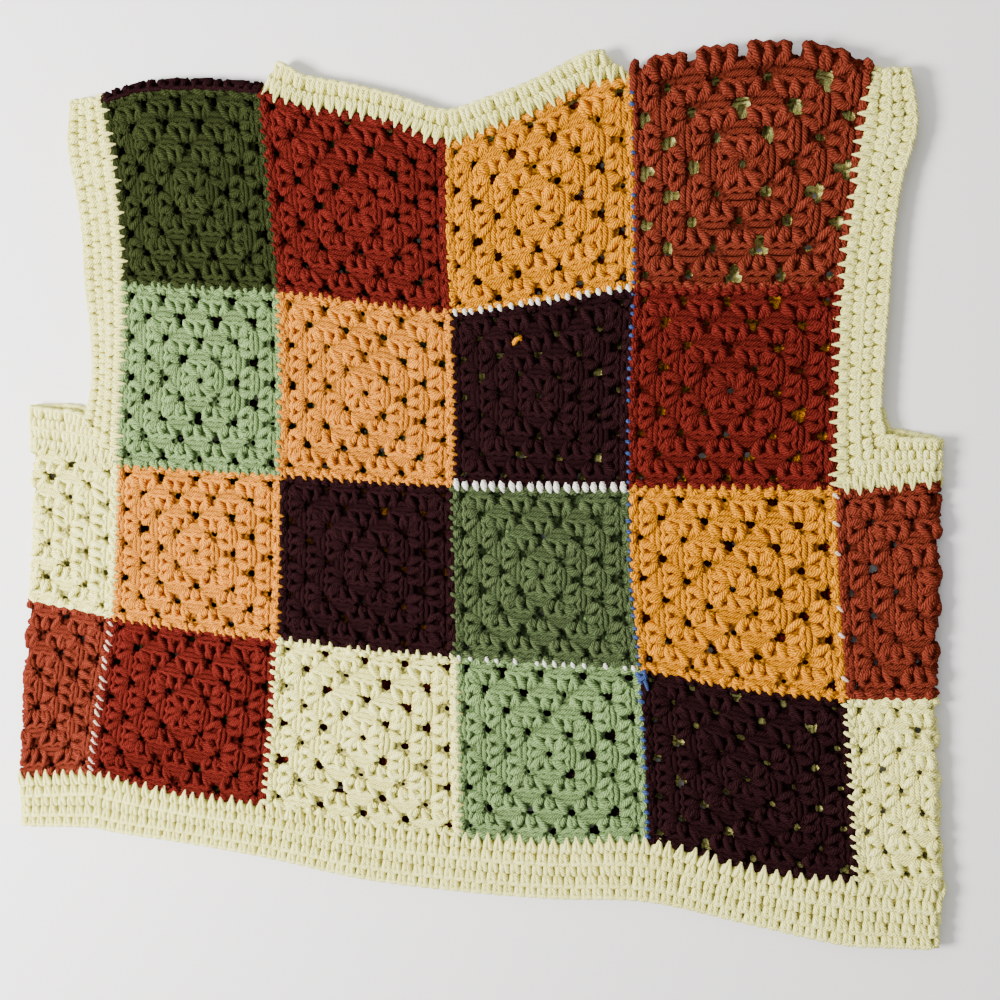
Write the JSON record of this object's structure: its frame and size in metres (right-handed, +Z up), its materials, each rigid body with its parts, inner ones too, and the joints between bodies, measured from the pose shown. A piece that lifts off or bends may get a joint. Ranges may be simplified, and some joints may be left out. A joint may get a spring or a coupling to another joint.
{
  "type": "crochet vest",
  "caption": "Sleeveless crochet vest of square patchwork motifs in mixed yarn colours with plain cream bands at neck, armholes and hem, lying flat; soft cloth held rigid.",
  "frame": {"origin": "middle of the bounding box, on the surface that the vest lies on", "axes": "+X across the vest to the wearer's left, +Y along the vest from hem to neck, +Z up from the surface, front of the vest facing up"},
  "size_m": [0.6206, 0.5194, 0.0102],
  "materials": {
    "yarn_olive": "dark olive wool, matte",
    "yarn_brick": "brick red wool, matte",
    "yarn_mustard": "mustard wool, matte",
    "yarn_rust": "rust wool, matte",
    "yarn_mint": "pale mint wool, matte",
    "yarn_peach": "peach wool, matte",
    "yarn_aubergine": "aubergine wool, matte",
    "yarn_green": "mid green wool, matte",
    "yarn_cream": "cream wool, matte",
    "yarn_cream_band": "cream wool in close rows, matte"
  },
  "bodies": {
    "root": {"front_r1c1": "yarn_olive", "front_r1c2": "yarn_brick", "front_r1c3": "yarn_mustard", "front_r1c4": "yarn_rust", "front_r2c1": "yarn_mint", "front_r2c2": "yarn_peach", "front_r2c3": "yarn_aubergine", "front_r2c4": "yarn_brick", "front_r3c1": "yarn_peach", "front_r3c2": "yarn_aubergine", "front_r3c3": "yarn_green", "front_r3c4": "yarn_mustard", "front_r4c1": "yarn_brick", "front_r4c2": "yarn_cream", "front_r4c3": "yarn_mint", "front_r4c4": "yarn_aubergine", "back_r1c1": "yarn_aubergine", "back_r1c2": "yarn_mint", "back_r1c3": "yarn_rust", "back_r1c4": "yarn_cream", "back_r2c1": "yarn_peach", "back_r2c2": "yarn_green", "back_r2c3": "yarn_cream", "back_r2c4": "yarn_mustard", "back_r3c1": "yarn_olive", "back_r3c2": "yarn_mustard", "back_r3c3": "yarn_mint", "back_r3c4": "yarn_brick", "back_r4c1": "yarn_mint", "back_r4c2": "yarn_brick", "back_r4c3": "yarn_aubergine", "back_r4c4": "yarn_peach", "side_left_r3": "yarn_cream", "side_left_r4": "yarn_rust", "side_right_r3": "yarn_rust", "side_right_r4": "yarn_cream", "hem_band": "yarn_cream_band", "armhole_band_left": "yarn_cream_band", "armhole_band_right": "yarn_cream_band", "neck_band": "yarn_cream_band"}
  },
  "joints": []
}
